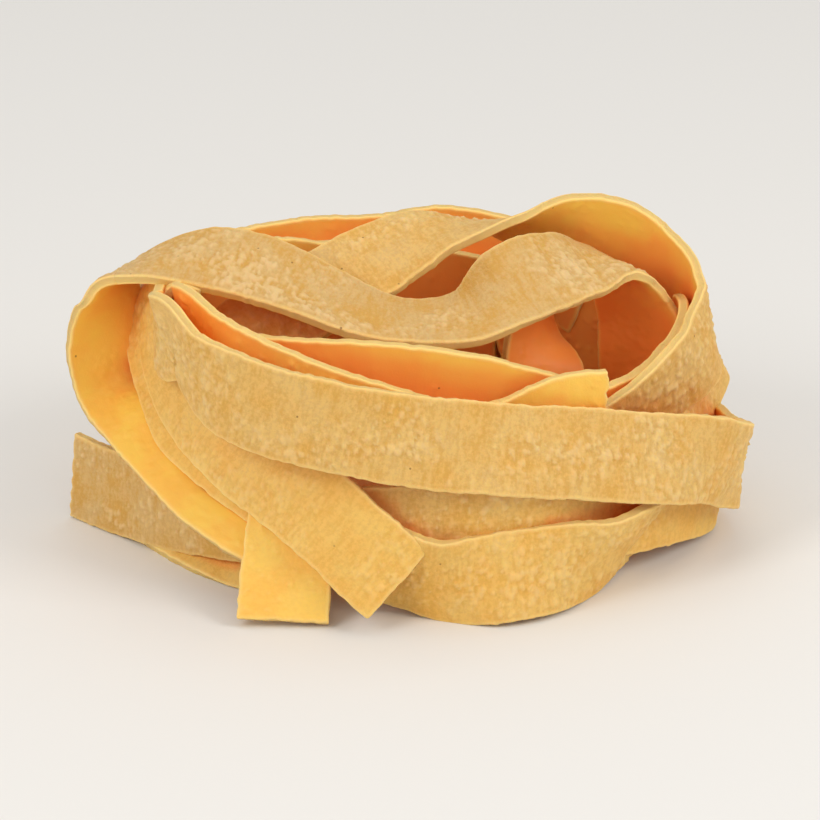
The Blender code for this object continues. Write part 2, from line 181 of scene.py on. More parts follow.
# Lies beneath the tail band
UNDER_BAND = [
    held(-20.5, -15.6, -12.5, -7, -22.6), held(-28.2, -10, -20.5, -1.2, -15.8),
    held(-33.9, -4.2, -26, 4, -6.6), held(-36.7, 3, -28.5, 8.9, 0), held(-37.8, 8.2, -30.3, 12, 2.6),
    held(-37.9, 12, -32, 14.4, 4.2), held(-36.8, 15.4, -33, 16.8, 5.6),
    laid(-33, 7.4, 34.6, -84, 10), laid(-29, 8.2, 34.8, -88, 2),
]

# Runs round the outside of the back wall
BACK_BAND = [
    laid(-35.4, 9.5, 23.6), laid(-33.4, 15, 24.4), laid(-27, 21.8, 24.2),
    laid(-14, 28.3, 22), laid(0, 31, 20.4), laid(13, 30, 20.4), laid(24, 26.3, 21),
]

# Lower ribbon of the back wall
BACK_RING = [
    laid(-36, 6, 10.6), laid(-34.6, 12, 12.6), laid(-27.4, 22.8, 15), laid(-14, 30, 14.6), laid(1, 32.6, 13),
    laid(15, 30.6, 12.4), laid(27, 26, 12),
]

# Short hanging end beside the tail band
SHORT_TAIL = [
    held(-23.2, -28.1, -10.8, -28.6, -31), held(-22.5, -20.5, -10.3, -20.8, -27.2),
    held(-21.3, -13, -9.3, -12.4, -24), held(-20, -6, -8, -5, -21.5), held(-19, -2, -7, -1, -20.4),
]

# Slopes out under the left front, bulges in front and climbs the right side
BELLY_BAND = [
    laid(-30, 14, 3.2, -40, 22), laid(-33.5, 4.5, 3.2, 5, 22), laid(-31.4, -2.4, 3.2, 32, 22),
    laid(-24.9, -11.2, 3.4, 46, 25), laid(-19.6, -16.8, 5, 55, 50),
    held(-12.5, -23.6, -12.3, -12.6, -24), held(-3.3, -25.8, -3.3, -15.3, -27),
    held(5, -28.3, 4.8, -17.5, -29.2), held(12.5, -28.5, 13, -16.2, -29),
    held(19.2, -27, 20.4, -15.1, -26.5), held(24.6, -24.5, 26.2, -14.9, -22.6),
    held(28.2, -20.8, 29.8, -13.9, -18), held(30.9, -16.8, 32.2, -13.2, -13.5),
    held(33.6, -12.4, 33.4, -11, -9), held(37.6, -6.6, 34.8, -5.2, -1.8), held(41, 0.4, 36.8, 3, 3.6),
    held(42.6, 5.2, 38.2, 8.8, 8), laid(38.6, 14.5, 24), laid(31, 21.8, 26), laid(18, 25.4, 24.5),
    laid(4, 25.6, 21.5), laid(-9, 24.6, 18.5),
]

# Ring that the nest stands on
BASE_RING = [
    held(-45.2, -14.2, -44.7, -3, 3.4), held(-39.6, -16.4, -39, -5.3, -2.2),
    held(-31.5, -18.8, -31, -7.5, -10.3), held(-22.4, -20.4, -22, -9, -18),
    held(-12, -21.8, -12, -10.4, -23.6), held(-3.5, -22, -3.5, -10.2, -25.8),
    held(7, -21.5, 7, -9.8, -26.8), held(18, -20.5, 18.5, -9, -24.4),
    held(28.5, -19.4, 29, -8.2, -16.8), held(35.8, -17.6, 36.4, -6.3, -9.5),
    held(40.3, -15.8, 41.3, -4.8, -1.5), laid(40.2, 7.5, 7), laid(33.5, 16.5, 6.3),
    laid(21, 24, 6.3), laid(8, 27.8, 6.3), laid(-8, 28.2, 6.3), laid(-22, 24.4, 6.4), laid(-31, 18.5, 6.6),
]

# Strip standing in the hollow on the right
INNER_TONGUE = [
    held(15.5, 16, 18.5, 17.5, 9, -1), held(13.6, 10.2, 19.8, 11.4, 6, -1),
    held(12.4, 5.6, 23, 5.9, 3, -1), held(11.5, -3, 23, -3.5, 1, -1), held(12, -9, 23.5, -9.5, -3, -1),
    laid(17, -10, 9.5, 0, 0), laid(16.5, -17.5, 13.5, 0, 0),
]


def smooth_through(knots, values, at):
    """Cubic curve through values at the knots, its slopes taken from the neighbours."""
    gaps = np.diff(knots)
    rises = np.diff(values, axis=0) / gaps[:, None]
    slopes = np.empty_like(values)
    before, after = gaps[:-1, None], gaps[1:, None]
    slopes[1:-1] = (rises[:-1] * after + rises[1:] * before) / (before + after)
    slopes[0] = 1.5 * rises[0] - 0.5 * slopes[1]
    slopes[-1] = 1.5 * rises[-1] - 0.5 * slopes[-2]
    span = np.clip(np.searchsorted(knots, at, side="right") - 1, 0, len(gaps) - 1)
    h = gaps[span][:, None]
    t = ((at - knots[span]) / gaps[span])[:, None]
    return ((2 * t ** 3 - 3 * t ** 2 + 1) * values[span] + (t ** 3 - 2 * t ** 2 + t) * h * slopes[span]
            + (3 * t ** 2 - 2 * t ** 3) * values[span + 1] + (t ** 3 - t ** 2) * h * slopes[span + 1])


def unit_rows(rows):
    """Each row scaled to length 1."""
    return rows / np.linalg.norm(rows, axis=1, keepdims=True)


def ribbon_frames(stations, step):
    """Centres, width directions and face directions at even steps along a ribbon."""
    centres = np.array([centre for centre, _ in stations])
    widths = np.array([across for _, across in stations])
    hops = np.linalg.norm(np.diff(centres, axis=0), axis=1) ** KNOT_POWER
    knots = np.concatenate([[0.0], np.cumsum(hops)])
    fine = np.linspace(0.0, knots[-1], PATH_SAMPLES)
    path = smooth_through(knots, centres, fine)
    run = np.concatenate([[0.0], np.cumsum(np.linalg.norm(np.diff(path, axis=0), axis=1))])
    count = max(6, round(run[-1] / step))
    at = np.interp(np.linspace(0.0, run[-1], count + 1), run, fine)
    ahead = unit_rows(smooth_through(knots, centres, np.minimum(at + SLOPE_REACH, knots[-1]))
                      - smooth_through(knots, centres, np.maximum(at - SLOPE_REACH, 0.0)))
    across = smooth_through(knots, widths, at)
    across = unit_rows(across - (across * ahead).sum(axis=1, keepdims=True) * ahead)
    return smooth_through(knots, centres, at), across, np.cross(ahead, across)


# Each ribbon: its stations, the side that lies outside (1 or -1 of its face direction), how floury that side
# is at the start and at the end, how blistered it is, how ragged its ends are, and its seed
RIBBONS = {
    "saddle": (SADDLE, -1, (0.9, 1.0), 1.2, 0.15, 11),
    "high_loop": (HIGH_LOOP, 1, (0.75, 0.7), 0.6, 0.15, 12),
    "front_band": (FRONT_BAND, -1, (0.7, 0.7), 0.9, 0.15, 13),
    "inner_band": (INNER_BAND, -1, (0.15, 0.35), 0.2, 0.45, 14),
    "lining": (LINING, -1, (0.05, 0.05), 0.2, 0.2, 15),
    "tail_band": (TAIL_BAND, -1, (0.5, 0.6), 1.1, 0.2, 16),
    "under_band": (UNDER_BAND, -1, (0.4, 0.6), 0.5, 0.2, 17),
    "back_band": (BACK_BAND, -1, (0.7, 0.8), 0.7, 0.2, 22),
    "back_ring": (BACK_RING, -1, (0.6, 0.7), 0.6, 0.2, 23),
    "short_tail": (SHORT_TAIL, -1, (0.3, 0.3), 0.25, 0.2, 18),
    "belly_band": (BELLY_BAND, 1, (0.5, 0.7), 0.9, 0.2, 19),
    "base_ring": (BASE_RING, 1, (0.95, 0.05), 0.5, 0.2, 20),
    "inner_tongue": (INNER_TONGUE, 1, (0.1, 0.1), 0.1, 0.2, 21),
}
TOP_RIBBONS = ("saddle", "high_loop")
FRONT_RIBBONS = ("front_band", "inner_band", "lining", "inner_tongue")
HANGING_RIBBONS = ("tail_band", "under_band", "short_tail")
BASE_RIBBONS = ("belly_band", "base_ring", "back_band", "back_ring")


def nest_shift():
    """How far the part's nest was moved to stand on its origin, from the box of its plain sections."""
    corners = []
    for stations, *_ in RIBBONS.values():
        centres, across, face = ribbon_frames(stations, SECTION_STEP)
        for u in (-0.5, 0.5):
            for v in (-0.5, 0.5):
                corners.append(centres + u * RIBBON_WIDTH * across + v * RIBBON_THICKNESS * face)
    corners = np.concatenate(corners)
    low, high = corners.min(axis=0), corners.max(axis=0)
    return np.array([-0.5 * (low[0] + high[0]), -0.5 * (low[1] + high[1]), -SETTLED_DEPTH])


SHIFT = nest_shift()

# Blisters: the rim they keep off, the patches they crowd in and the waves' height below which there are none
BLISTER_RIM = 0.6
BLISTER_PATCH = (9.0, 5.0)
BARE_PATCH = -0.35
# Their least and greatest size, length across against along, and height, as shares
BLISTER_SIZES = (0.55, 1.3)
BLISTER_STRETCHES = (0.8, 1.7)
BLISTER_RISES = (0.35, 1.0)
# How many there are on the smooth side and how high they are, against the floury side
SMOOTH_SIDE_COUNT = 0.5
SMOOTH_SIDE_HEIGHT = 0.35

# Waves that shape a ribbon: their length along it and across it, millimetres, and their share
CREASE_WAVES = ((1.1, 5.0, 1.0), (0.6, 2.2, 0.6))
GRAIN_WAVES = ((0.45, 0.45, 1.0),)
BUCKLE_WAVES = ((7.0, 6.0, 1.0), (3.2, 4.0, 0.4))
NICK_WAVES = ((0.8, 1.0, 1.0), (3.1, 1.0, 0.9))
CUT_FACE_WAVES = ((0.6, 0.5, 0.5),)
TORN_WAVES = ((0.9, 1.5, 1.0), (2.6, 3.0, 0.8))

# From an edge or end of a ribbon, millimetres: no relief so far, and full relief so much further in; how far
# the painted highlight of the cut edges, the tearing and the calmer start reach
FLAT_RIM = 0.2
RELIEF_RISE = 1.0
CUT_RIM = 0.5
TORN_REACH = 1.2
CALM_START = 6.0
# Powers that keep the nicks to the edges and the relief to the two sides
EDGE_POWER = 6
SIDE_POWER = 4

# Dough's map, millimetres: how far apart it holds the ribbons, counted by seeds, and the sides of a ribbon
FIRST_SEED = 10
MAP_GAP = 300.0
SIDE_GAP = 40.0
# What is seen on it, millimetres
CLOUD_SIZE = 6.0
STREAK_SIZE = 0.9
FLECK_SIZE = 0.55
GRAIN_SIZE = 0.28
BUMP_HEIGHT = 0.13
# Specks: where they start and end to fade, as a share of their spacing, and the draws that give one
SPECK_FADE = (0.012, 0.04)
SPECK_DRAWS = (0.88, 0.92)

# How sheltered a place is, which sets its painted shade, is felt out by so many rays of this length, in so
# many rows across a ribbon, which take up this share of its width
SKY_SEED = 5
SHELTER_RAYS = 18
SHELTER_REACH = 60.0
SHELTER_ROWS = 5
SHELTER_SPAN = 0.9
# Low inner sides of the back wall get their light through the ribbons in front, so they get more painted
# shade: how much more, the depth where it starts, the height where it ends, and how soft both are
BACK_SHARE = 0.4
BACK_FROM, BACK_TOP, BACK_FADE = -4.0, 35.0, 10.0


def between_cells(grid, i, j):
    """Smooth value between the points of a grid, at places measured in its cells."""
    i0 = np.clip(i.astype(int), 0, grid.shape[0] - 2)
    j0 = np.clip(j.astype(int), 0, grid.shape[1] - 2)
    fi, fj = np.clip(i - i0, 0.0, 1.0), np.clip(j - j0, 0.0, 1.0)
    fi, fj = fi * fi * (3 - 2 * fi), fj * fj * (3 - 2 * fj)
    near = grid[i0, j0] * (1 - fj) + grid[i0, j0 + 1] * fj
    far = grid[i0 + 1, j0] * (1 - fj) + grid[i0 + 1, j0 + 1] * fj
    return near * (1 - fi) + far * fi


def waves(rng, along, across, cell_along, cell_across):
    """Smooth random value from -1 to 1 over a sheet, its patches as long and wide as the cells."""
    i, j = along / cell_along, across / cell_across
    i, j = i - i.min(), j - j.min()
    return between_cells(rng.uniform(-1.0, 1.0, (int(i.max()) + 2, int(j.max()) + 2)), i, j)


def layered(rng, along, across, layers):
    """Sum of waves; each layer has its length along and across and its share."""
    return sum(share * waves(rng, along, across, long, wide) for long, wide, share in layers)


def sheet_tree():
    """Search tree over the middle surfaces of all the ribbons."""
    points, quads = [], []
    for stations, *_ in RIBBONS.values():
        centres, across, _ = ribbon_frames(stations, SECTION_STEP)
        first = len(points)
        for centre, wide in zip(centres, across):
            points += [Vector(centre + u * RIBBON_WIDTH * wide) for u in (-0.5, 0.5)]
        quads += [(i, i + 1, i + 3, i + 2) for i in range(first, len(points) - 2, 2)]
    return BVHTree.FromPolygons(points, quads)


SHEETS = sheet_tree()


def sheltered(stations, side):
    """Share of the sky that the ribbons hide from one side of a ribbon, in rows along it and across it."""
    centres, across, face = ribbon_frames(stations, 0.5 * SECTION_STEP)
    sky = unit_rows(np.random.default_rng(SKY_SEED).normal(size=(SHELTER_RAYS, 3)))
    shares = []
    for centre, wide, out in zip(centres, across, side * face):
        leaning = sky @ out
        rays = [Vector(ray) for ray in sky + (np.abs(leaning) - leaning)[:, None] * out]
        starts = [Vector(centre + u * RIBBON_WIDTH * wide + RIBBON_THICKNESS * out)
                  for u in np.linspace(-0.5 * SHELTER_SPAN, 0.5 * SHELTER_SPAN, SHELTER_ROWS)]
        shares.append([sum(SHEETS.ray_cast(start, ray, SHELTER_REACH)[0] is not None for ray in rays)
                       / SHELTER_RAYS for start in starts])
    return np.array(shares)


def hidden_sky(stations, s, u, v, length):
    """Share of the sky that is hidden from each point of a strip, which sets how much shade is painted there.
    """
    shares = [sheltered(stations, side) for side in (1, -1)]
    steps = s / length * (len(shares[0]) - 1)
    rows = (u / RIBBON_WIDTH + 0.5) * (SHELTER_ROWS - 1)
    return np.where(v > 0, between_cells(shares[0], steps, rows), between_cells(shares[1], steps, rows))


def blister_field(rng, along, across, length, share):
    """Height from 0 to 1 of rounded blisters strewn over a sheet; share says how much of it they cover."""
    settings = bpy.context.scene.nest_ribbons
    radius = settings.blister_radius / MM
    count = int(share * settings.blister_density * MM * MM * length * RIBBON_WIDTH)
    order = np.argsort(along)
    sorted_along, sorted_across = along[order], across[order]
    height = np.zeros(len(along))
    reach = 0.5 * RIBBON_WIDTH - BLISTER_RIM
    spots = rng.uniform((0.0, -reach), (length, reach), (count, 2))
    sizes = radius * rng.uniform(*BLISTER_SIZES, count)
    stretches = rng.uniform(*BLISTER_STRETCHES, count)
    rises = rng.uniform(*BLISTER_RISES, count)
    patches = waves(rng, spots[:, 0], spots[:, 1], *BLISTER_PATCH)
    for (s, u), size, stretch, rise, patch in zip(spots, sizes, stretches, rises, patches):
        if patch < BARE_PATCH:
            continue
        first, last = np.searchsorted(sorted_along, (s - size, s + size))
        off_along = (sorted_along[first:last] - s) / size
        off_across = (sorted_across[first:last] - u) / size / stretch
        dome = rise * (0.6 + 0.4 * patch) * np.clip(1.0 - (off_along ** 2 + off_across ** 2), 0.0, 1.0)
        rows = order[first:last]
        height[rows] = np.maximum(height[rows], dome)
    return height


def relief_of(rng, s, u, outer, length, blisters):
    """Height of the relief on each point of a strip, and of the blisters in it from 0 to 1."""
    settings = bpy.context.scene.nest_ribbons
    floury_side = outer * blister_field(rng, s, u, length, blisters)
    smooth_side = (1 - outer) * blister_field(rng, s, u, length, SMOOTH_SIDE_COUNT * blisters)
    domes = np.maximum(floury_side, SMOOTH_SIDE_HEIGHT * smooth_side)
    creases = layered(rng, s, u, CREASE_WAVES) * (0.4 + 0.6 * outer)
    grain = layered(rng, s, u, GRAIN_WAVES) * (0.3 + 0.7 * outer)
    relief = settings.blister_height * domes + settings.crease_depth * creases + settings.grain_depth * grain
    return relief / MM, domes


def nicked(rng, s, u, v):
    """How far the nicks push each point of a strip across it; only the cut edges feel much of it."""
    head_edge = layered(rng, s, 0 * s, NICK_WAVES)
    foot_edge = layered(rng, s, 0 * s, NICK_WAVES)
    cut_face = layered(rng, s, v, CUT_FACE_WAVES)
    reach = (2 * np.abs(u) / RIBBON_WIDTH) ** EDGE_POWER
    depth = bpy.context.scene.nest_ribbons.edge_nick / MM
    return depth * reach * (np.where(u > 0, head_edge, foot_edge) + cut_face)


def deselect_all():
    """Leaves no object selected."""
    for each in bpy.context.selected_objects:
        each.select_set(False)


def apply_modifier(piece, kind, **values):
    """Adds a modifier with these values and applies it."""
    modifier = piece.modifiers.new(kind.title(), kind)
    for key, value in values.items():
        setattr(modifier, key, value)
    bpy.ops.object.modifier_apply(modifier=modifier.name)


def flat_strip(name, length):
    """A strip as it is cut on the board: flat, of the ribbon's thickness, its cut edges slightly eased."""
    settings = bpy.context.scene.nest_ribbons
    cell = settings.cell / MM
    deselect_all()
    bpy.ops.mesh.primitive_grid_add(
        x_subdivisions=round(length / cell), y_subdivisions=round(RIBBON_WIDTH / cell), size=1.0)
    strip = bpy.context.object
    strip.name = strip.data.name = name
    strip.scale = (length, RIBBON_WIDTH, 1.0)
    bpy.ops.object.transform_apply(location=False, rotation=False, scale=True)
    apply_modifier(strip, "SOLIDIFY", thickness=RIBBON_THICKNESS, offset=0.0)
    apply_modifier(strip, "BEVEL", width=settings.eased_edge / MM, segments=3, limit_method="ANGLE")
    return strip


def dress(strip, points, flat, values):
    """Gives a strip its points, its place on the dough's map, its named values and its material."""
    mesh = strip.data
    mesh.vertices.foreach_set("co", points.ravel())
    corners = np.empty(len(mesh.loops), int)
    mesh.loops.foreach_get("vertex_index", corners)
    sheet = mesh.uv_layers[0]
    sheet.name = "sheet"
    sheet.uv.foreach_set("vector", flat[corners].ravel())
    for label, numbers in values.items():
        mesh.attributes.new(label, "FLOAT", "POINT").data.foreach_set("value", numbers)
    bpy.ops.object.shade_smooth()
    mesh.materials.clear()
    mesh.materials.append(pasta_finish())


def wind_ribbon(name):
    """Adds a flat strip with its relief, wound along the ribbon's path."""
    settings = bpy.context.scene.nest_ribbons
    stations, outer_side, flour, blisters, ragged, seed = RIBBONS[name]
    centres, across, face = ribbon_frames(stations, 0.5 * settings.cell / MM)
    run = np.concatenate([[0.0], np.cumsum(np.linalg.norm(np.diff(centres, axis=0), axis=1))])
    length = run[-1]
    strip = flat_strip(name, length)
    points = np.empty(len(strip.data.vertices) * 3)
    strip.data.vertices.foreach_get("co", points)

    # Places on the flat strip: s along it, u across it and v through it
    x, u, v = points.reshape(-1, 3).T
    s = x + 0.5 * length
    side = np.sign(v)
    outer = (side == outer_side).astype(float)
    from_edge = np.minimum(np.minimum(0.5 * RIBBON_WIDTH - np.abs(u), s), length - s)
    edge = np.clip(1.0 - from_edge / CUT_RIM, 0.0, 1.0)
    floury = outer * (flour[0] + (flour[1] - flour[0]) * s / length)
    # Painted shade: how much of the sky the other ribbons hide from each point
    shaded = hidden_sky(stations, s, u, v, length)

    # Relief, buckling, nicked edges and torn ends
    rng = np.random.default_rng(seed)
    relief, domes = relief_of(rng, s, u, outer, length, blisters)
    relief = relief * np.clip((from_edge - FLAT_RIM) / RELIEF_RISE, 0.0, 1.0)
    skin = np.clip(2 * np.abs(v) / RIBBON_THICKNESS, 0.0, 1.0) ** SIDE_POWER
    buckle = settings.buckle / MM * layered(rng, s, u, BUCKLE_WAVES)
    u = u + nicked(rng, s, u, v)
    torn = ragged * layered(rng, u, v, TORN_WAVES)
    near_start, near_end = (np.clip(1.0 - gap / TORN_REACH, 0.0, 1.0) for gap in (s, length - s))
    s = s + torn * (near_start + near_end)
    v = v + side * relief * skin + buckle * np.clip(s / CALM_START, 0.4, 1.0)

    # Wound along the path
    middle, wide, out = (np.stack([np.interp(s, run, column) for column in each.T], axis=1)
                         for each in (centres, across, face))
    placed = middle + u[:, None] * unit_rows(wide) + v[:, None] * unit_rows(out) + SHIFT
    placed[:, 2] = np.maximum(placed[:, 2], 0.0)
    # More painted shade on the low inner sides of the back wall, less where the side is floury
    back = np.clip((placed[:, 1] - BACK_FROM) / BACK_FADE, 0.0, 1.0)
    low = np.clip((BACK_TOP - placed[:, 2]) / BACK_FADE, 0.0, 1.0)
    shaded = shaded + BACK_SHARE * back * low * (1 - floury)

    flat = MM * np.stack([s + MAP_GAP * (seed - FIRST_SEED), u + SIDE_GAP * outer], axis=1)
    dress(strip, MM * placed, flat, {"outer": floury, "edge": edge, "raised": domes, "shaded": shaded})
    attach(strip, "root")
    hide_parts("pasta_nest")


class Socket:
    """An output of a shader node; sums and products of sockets and numbers add their Math nodes."""

    def __init__(self, finish, link):
        self.finish = finish
        self.link = link

    def math(self, operation, first, second):
        """Adds a Math node and gives its output."""
        return self.finish.node("Math", {"operation": operation}, {0: first, 1: second})

    def __add__(self, other):
        return self.math("ADD", self, other)

    def __radd__(self, other):
        return self.math("ADD", other, self)

    def __sub__(self, other):
        return self.math("SUBTRACT", self, other)

    def __rsub__(self, other):
        return self.math("SUBTRACT", other, self)

    def __mul__(self, other):
        return self.math("MULTIPLY", self, other)

    def __rmul__(self, other):
        return self.math("MULTIPLY", other, self)


class Finish:
    """A material in the making."""

    def __init__(self, name):
        self.material = bpy.data.materials.new(name)
        self.material.use_nodes = True
        self.tree = self.material.node_tree
        self.tree.nodes.clear()

    def node(self, kind, settings=None, sockets=None, output=0):
        """Adds a node with these settings and socket values or links, and gives one of its outputs."""
        node = self.tree.nodes.new("ShaderNode" + kind)
        for key, value in (settings or {}).items():
            setattr(node, key, value)
        for key, value in (sockets or {}).items():
            if isinstance(value, Socket):
                self.tree.links.new(value.link, node.inputs[key])
            else:
                node.inputs[key].default_value = value
        return Socket(self, node.outputs[output]) if node.outputs else None

    def noise(self, where, cells_per_metre, detail=2.0, rough=0.5):
        """Smooth noise on the dough's map."""
        return self.node("TexNoise", {"noise_dimensions": "2D"},
                         {"Vector": where, "Scale": cells_per_metre, "Detail": detail, "Roughness": rough})

    def between(self, value, low, high):
        """0 below low, 1 above high and a smooth rise between them."""
        return self.node("MapRange", {"interpolation_type": "SMOOTHSTEP"},
                         {"Value": value, "From Min": low, "From Max": high})

    def mix(self, share, first, second):
        """First colour where share is 0, second where it is 1."""
        return self.node("Mix", {"data_type": "RGBA"}, {0: share, 6: first, 7: second}, output=2)


def opaque(colour):
    """A colour with full cover."""
    return (*colour, 1.0)


def pasta_finish():
    """Golden dried dough, floury and mottled where the relief attributes say so, with painted shade and
    highlights.
    """
    ready = bpy.data.materials.get("pasta_dough")
    if ready:
        return ready
    settings = bpy.context.scene.nest_dough
    dough = Finish("pasta_dough")
    sheet = dough.node("UVMap", {"uv_map": "sheet"})
    outer = dough.node("Attribute", {"attribute_name": "outer"}, output=2)
    edge = dough.node("Attribute", {"attribute_name": "edge"}, output=2)
    raised = dough.node("Attribute", {"attribute_name": "raised"}, output=2)
    # Painted shade, from the share of hidden sky
    shaded = dough.between(dough.node("Attribute", {"attribute_name": "shaded"}, output=2), 0.5, 1.0)

    patches = dough.noise(sheet, 1 / (CLOUD_SIZE * MM), 3.0)
    stretched = dough.node("Mapping", {"vector_type": "POINT"}, {"Vector": sheet, "Scale": (1.0, 0.3, 1.0)})
    streaks = dough.noise(stretched, 1 / (STREAK_SIZE * MM), 3.0, 0.6)
    flecks = dough.noise(sheet, 1 / (FLECK_SIZE * MM), 2.0, 0.6)
    clouds = dough.between(patches, 0.35, 0.65)
    golden = dough.mix(clouds, opaque(settings.golden), opaque(settings.deep_golden))
    mottle = dough.between(patches * 0.45 + streaks * 0.4 + flecks * 0.3, 0.44, 0.74)
    floury = dough.mix(mottle, opaque(settings.floury), opaque(settings.yellow))
    # Paler blister tops: partly flour, partly painted highlight where light would catch the bumps
    floury = dough.mix(dough.between(raised, 0.06, 0.6) * 0.5, floury, opaque(settings.blister))
    dusted = outer * (0.85 + 0.25 * dough.between(streaks + flecks, 0.8, 1.2))
    colour = dough.mix(dough.between(dusted, 0.0, 1.0), golden, floury)
    # Painted highlight on the cut edges, where light catches and glows through them
    colour = dough.mix(edge * settings.edge_highlight, colour, opaque(settings.cut))
    # Painted shade: red-orange where the sky is hidden, weaker on floury sides and none on the cut edges
    colour = dough.mix(shaded * (1 - edge) * (1 - outer * 0.7) * 0.85, colour, opaque(settings.sheltered))

    cells = {"Vector": sheet, "Scale": 1 / settings.speck_spacing, "Randomness": 1.0}
    speck_distance = dough.node("TexVoronoi", {"voronoi_dimensions": "2D"}, cells)
    speck_draw = dough.node("TexVoronoi", {"voronoi_dimensions": "2D"}, cells, output=1)
    share = dough.node("SeparateColor", None, {"Color": speck_draw})
    specks = (1 - dough.between(speck_distance, *SPECK_FADE)) * dough.between(share, *SPECK_DRAWS)
    colour = dough.mix(specks * 0.75, colour, opaque(settings.speck))

    grain = dough.noise(sheet, 1 / (GRAIN_SIZE * MM), 3.0, 0.65)
    height = grain * (0.25 + outer * 0.75) + flecks * 0.5 * outer + edge * grain * 0.6
    bump = dough.node("Bump", None, {"Strength": 0.8, "Distance": BUMP_HEIGHT * MM, "Height": height})
    roughness = 0.46 + outer * 0.16 + edge * 0.1
    surface = dough.node("BsdfPrincipled", None, {
        "Base Color": colour, "Roughness": roughness, "Normal": bump, "Specular IOR Level": 0.32,
        "Subsurface Weight": settings.glow, "Subsurface Radius": (1.0, 0.35, 0.10),
        "Subsurface Scale": settings.glow_depth})
    dough.node("OutputMaterial", None, {"Surface": surface})
    return dough.material


def floor_finish():
    """Pale matt floor with the least trace of grain."""
    settings = bpy.context.scene.nest_stage
    floor = Finish("pale_floor")
    place = floor.node("TexCoord", output=3)
    cloud = floor.node("TexNoise", None, {"Vector": place, "Scale": 9.0, "Detail": 2.0})
    colour = floor.mix(cloud * 0.08, opaque(settings.floor_colour), (0.7, 0.69, 0.67, 1.0))
    surface = floor.node("BsdfPrincipled", None, {"Base Color": colour, "Roughness": 0.85})
    floor.node("OutputMaterial", None, {"Surface": surface})
    return floor.material


def length_setting(name, default, description):
    """A length, shown in the panel."""
    return bpy.props.FloatProperty(name=name, default=default, min=0.0, precision=5, unit="LENGTH",
                                   description=description)


def colour_setting(name, default, description):
    """A colour, shown in the panel."""
    return bpy.props.FloatVectorProperty(name=name, default=default, min=0.0, max=1.0, size=3,
                                         subtype="COLOR", description=description)


class NestRibbonSettings(bpy.types.PropertyGroup):
    """Relief of the ribbons."""
    cell: length_setting("Cell", 0.32 * MM, "Size of a mesh cell along and across a ribbon")
    eased_edge: length_setting("Eased Edge", 0.30 * MM, "Rounding of the cut edges")
    blister_radius: length_setting("Blister Radius", 0.46 * MM, "Radius of a common blister on a floury side")
    blister_height: length_setting("Blister Height", 0.46 * MM, "Height of the largest blisters")
    blister_density: bpy.props.FloatProperty(
        name="Blister Density", default=1.5e6, min=0.0,
        description="Blisters on each square metre of a floury side")
    crease_depth: length_setting("Crease Depth", 0.055 * MM, "Depth of the fine creases across a ribbon")
    grain_depth: length_setting("Grain Depth", 0.025 * MM, "Depth of the dough's grain")
    buckle: length_setting("Buckle", 0.16 * MM, "How far a ribbon buckles as it dries")
    edge_nick: length_setting("Edge Nick", 0.09 * MM, "Depth of the nicks along the cut edges")


class NestDoughSettings(bpy.types.PropertyGroup):
    """Colours of the dough, and of its painted shade and highlights."""
    floury: colour_setting("Floury", (0.66, 0.43, 0.175), "Pale flour on the outer sides")
    yellow: colour_setting("Yellow", (0.65, 0.355, 0.075), "Bare patches of the outer sides")
    golden: colour_setting("Golden", (1.0, 0.62, 0.10), "Smooth inner sides")
    deep_golden: colour_setting("Deep Golden", (1.0, 0.56, 0.09), "Darker clouds of the inner sides")
    # Blister tops: partly flour, partly painted highlight
    blister: colour_setting("Blister", (0.86, 0.64, 0.33), "Flour on the blisters")
    # Colour of the painted highlight on the cut edges
    cut: colour_setting("Cut", (1.0, 0.70, 0.26), "Cut edges")
    # Colour of the painted shade deep in the nest, red-orange like light that has passed through ribbons
    sheltered: colour_setting(
        "Sheltered", (1.0, 0.29, 0.06), "Dough deep inside, where light comes through ribbons")
    speck: colour_setting("Speck", (0.20, 0.08, 0.02), "Tiny specks of bran")
    speck_spacing: length_setting("Speck Spacing", 5.0 * MM, "Spacing of the places where a speck may lie")
    # How much painted highlight the cut edges get
    edge_highlight: bpy.props.FloatProperty(
        name="Edge Flour", default=0.8, min=0.0, max=1.0, subtype="FACTOR",
        description="How much of the cut edges is paler")
    glow: bpy.props.FloatProperty(
        name="Glow", default=0.18, min=0.0, max=1.0, subtype="FACTOR",
        description="Share of light that goes inside")
    glow_depth: length_setting("Glow Depth", 0.9 * MM, "How far light spreads inside the dough")


class NestStageSettings(bpy.types.PropertyGroup):
    """Floor, light and camera."""
    floor_colour: colour_setting("Floor Colour", (0.80, 0.79, 0.77), "Colour of the floor")
    view_width: length_setting("View Width", PICTURE_WIDTH * MM, "Width that the picture shows at the nest")
    key_power: bpy.props.FloatProperty(
        name="Key Power", default=1.05, min=0.0, unit="POWER",
        description="Strength of the soft light from the left")
    fill_power: bpy.props.FloatProperty(
        name="Fill Power", default=1.08, min=0.0, unit="POWER",
        description="Strength of the soft light from the right")
    top_power: bpy.props.FloatProperty(
        name="Top Power", default=0.35, min=0.0, unit="POWER",
        description="Strength of the light from above")
    air: bpy.props.FloatProperty(
        name="Air", default=0.66, min=0.0, description="Even light from all round")


class NestOperator:
    """What the nest's operators share."""
    bl_options = {"REGISTER", "UNDO"}


class NEST_OT_top_ribbons(NestOperator, bpy.types.Operator):
    """Add the ribbons that cross the top of the nest"""
    bl_idname = "nest.top_ribbons"
    bl_label = "Top Ribbons"

    def execute(self, context):
        for name in TOP_RIBBONS:
            wind_ribbon(name)
        return {"FINISHED"}


